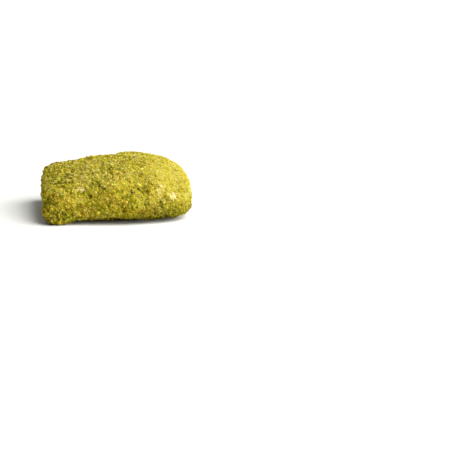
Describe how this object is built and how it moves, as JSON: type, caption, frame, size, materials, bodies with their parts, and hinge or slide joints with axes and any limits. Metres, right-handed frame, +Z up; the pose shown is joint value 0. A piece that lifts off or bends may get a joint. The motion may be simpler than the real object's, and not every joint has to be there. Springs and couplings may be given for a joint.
{
  "type": "baklava piece",
  "caption": "Square pillow-shaped baklava piece of thin dough, coated all over with fine green ground pistachio.",
  "frame": {"origin": "on the flat of the underside, below the middle of the piece's box, so the piece stands at z = 0", "axes": "+Z up through the thickness, -Y to the front, which shows in the picture, and +X to the fat, round right end"},
  "size_m": [0.0553, 0.0544, 0.0206],
  "materials": {
    "pistachio_coat": null
  },
  "bodies": {
    "root": {"baklava_piece": "pistachio_coat"}
  },
  "joints": []
}
